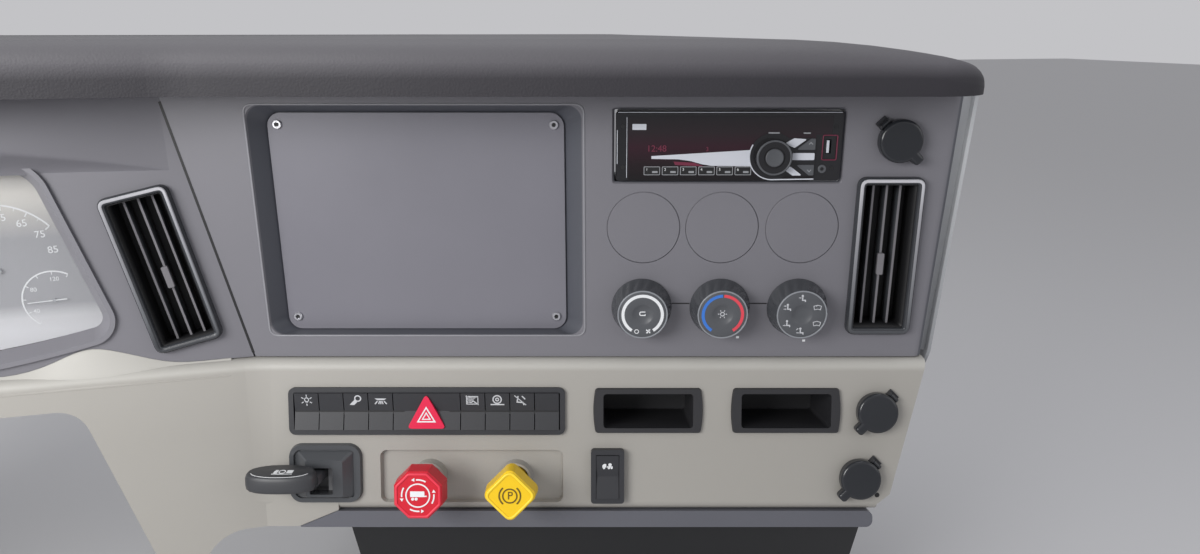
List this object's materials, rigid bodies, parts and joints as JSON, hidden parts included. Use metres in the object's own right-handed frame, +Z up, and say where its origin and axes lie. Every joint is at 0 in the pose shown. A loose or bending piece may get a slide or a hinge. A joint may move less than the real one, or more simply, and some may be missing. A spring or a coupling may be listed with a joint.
{
  "type": "truck dashboard",
  "caption": "Driver's dashboard of a heavy truck: instrument wing, turned centre stack, vents, switches, air valves and a soft top pad on a cross-car beam.",
  "frame": {"origin": "middle of the cowl bracket's bolt pattern, on its front face", "axes": "+X to the passenger side, +Y forward, +Z up"},
  "size_m": [1.2703, 0.5402, 0.5833],
  "materials": {
    "soft_pad": "soft-touch charcoal grain",
    "panel_dark": "fine-grained dark grey",
    "panel_light": "fine-grained warm light grey",
    "dark_plastic": "matt black",
    "cover_black": "fine-grained near black",
    "beam_steel": "black coat",
    "gloss_black": "gloss",
    "zinc_steel": "zinc plated sheet",
    "clear_window": "clear",
    "dial_face": "silver-grey",
    "needle_red": "satin",
    "switch_black": "satin black",
    "cast_alloy": "as cast",
    "knob_red": "satin",
    "knob_yellow": "satin",
    "knob_black": "satin black",
    "vent_satin": "satin grey paint"
  },
  "bodies": {
    "dashboard": {"centre_panel": "panel_dark", "climate_control": "dark_plastic", "cluster_bezel": "panel_dark", "cluster_brow": "panel_dark", "cluster_housing": "dark_plastic", "cluster_window": "clear_window", "column_bracket": "beam_steel", "cover_plate": "cover_black", "cowl_bracket": "beam_steel", "cross_beam": "beam_steel", "defroster_grille": "dark_plastic", "dial_plate": "dial_face", "end_cap": "panel_dark", "gauge_blanks": "panel_dark", "gauge_needles": "needle_red", "hand_valve": "cast_alloy", "hazard_button": "switch_black", "inner_air_duct": "dark_plastic", "inner_vent_frame": "vent_satin", "inner_vent_vanes": "switch_black", "knee_panel": "dark_plastic", "left_cubby": "dark_plastic", "lever_bezel": "switch_black", "light_panel": "panel_light", "lower_outlet_socket": "switch_black", "lower_trim": "dark_plastic", "middle_outlet_socket": "switch_black", "outer_air_duct": "dark_plastic", "outer_vent_frame": "vent_satin", "outer_vent_vanes": "switch_black", "panel_brackets": "beam_steel", "radio_chassis": "zinc_steel", "radio_face": "gloss_black", "radio_knob": "gloss_black", "right_cubby": "dark_plastic", "rocker_bezel": "switch_black", "rocker_switch": "switch_black", "side_cheek": "panel_light", "stack_air_duct": "dark_plastic", "stack_vent_frame": "vent_satin", "stack_vent_vanes": "switch_black", "switch_bezel": "switch_black", "switch_rockers": "switch_black", "top_pad": "soft_pad", "upper_outlet_socket": "switch_black", "valve_manifold": "dark_plastic", "wing_panel": "panel_dark"},
    "climate_knob_1": {"climate_knob_1": "knob_black"},
    "climate_knob_2": {"climate_knob_2": "knob_black"},
    "climate_knob_3": {"climate_knob_3": "knob_black"},
    "hand_lever": {"hand_lever": "switch_black"},
    "lower_outlet_cap": {"lower_outlet_cap": "gloss_black"},
    "middle_outlet_cap": {"middle_outlet_cap": "gloss_black"},
    "red_valve_knob": {"red_valve_knob": "knob_red"},
    "upper_outlet_cap": {"upper_outlet_cap": "gloss_black"},
    "yellow_valve_knob": {"yellow_valve_knob": "knob_yellow"}
  },
  "joints": [
    {"name": "climate_turn_1", "type": "hinge", "parent": "dashboard", "child": "climate_knob_1", "pos_m": [0.3563, -0.39385, -0.043], "axis": [-0.2419, -0.9703, 0], "range_deg": [-135, 135]},
    {"name": "climate_turn_2", "type": "hinge", "parent": "dashboard", "child": "climate_knob_2", "pos_m": [0.42306, -0.41049, -0.043], "axis": [-0.2419, -0.9703, 0], "range_deg": [-135, 135]},
    {"name": "climate_turn_3", "type": "hinge", "parent": "dashboard", "child": "climate_knob_3", "pos_m": [0.48904, -0.42695, -0.043], "axis": [-0.2419, -0.9703, 0], "range_deg": [-135, 135]},
    {"name": "lever_pull", "type": "hinge", "parent": "dashboard", "child": "hand_lever", "pos_m": [0.07099, -0.34523, -0.1942], "axis": [0.9703, -0.2419, 0], "range_deg": [0, 20], "stiffness_Nm_per_rad": 0.4, "springref_deg": -14.32},
    {"name": "red_valve_push", "type": "slide", "parent": "dashboard", "child": "red_valve_knob", "axis": [-0.2366, -0.9491, 0.2079], "range_m": [-0.0127, 0], "stiffness_N_per_m": 600, "springref_m": 0.012},
    {"name": "yellow_valve_push", "type": "slide", "parent": "dashboard", "child": "yellow_valve_knob", "axis": [-0.2366, -0.9491, 0.2079], "range_m": [-0.0127, 0], "stiffness_N_per_m": 600, "springref_m": 0.012},
    {"name": "upper_cap_open", "type": "hinge", "parent": "dashboard", "child": "upper_outlet_cap", "pos_m": [0.54633, -0.4469, 0.11739], "axis": [-0.6861, 0.1711, -0.7071], "range_deg": [0, 110]},
    {"name": "middle_cap_open", "type": "hinge", "parent": "dashboard", "child": "middle_outlet_cap", "pos_m": [0.56793, -0.46722, -0.12058], "axis": [-0.6505, 0.3137, 0.6917], "range_deg": [0, 110]},
    {"name": "lower_cap_open", "type": "hinge", "parent": "dashboard", "child": "lower_outlet_cap", "pos_m": [0.55169, -0.47614, -0.17976], "axis": [-0.6505, 0.3137, 0.6917], "range_deg": [0, 110]}
  ]
}
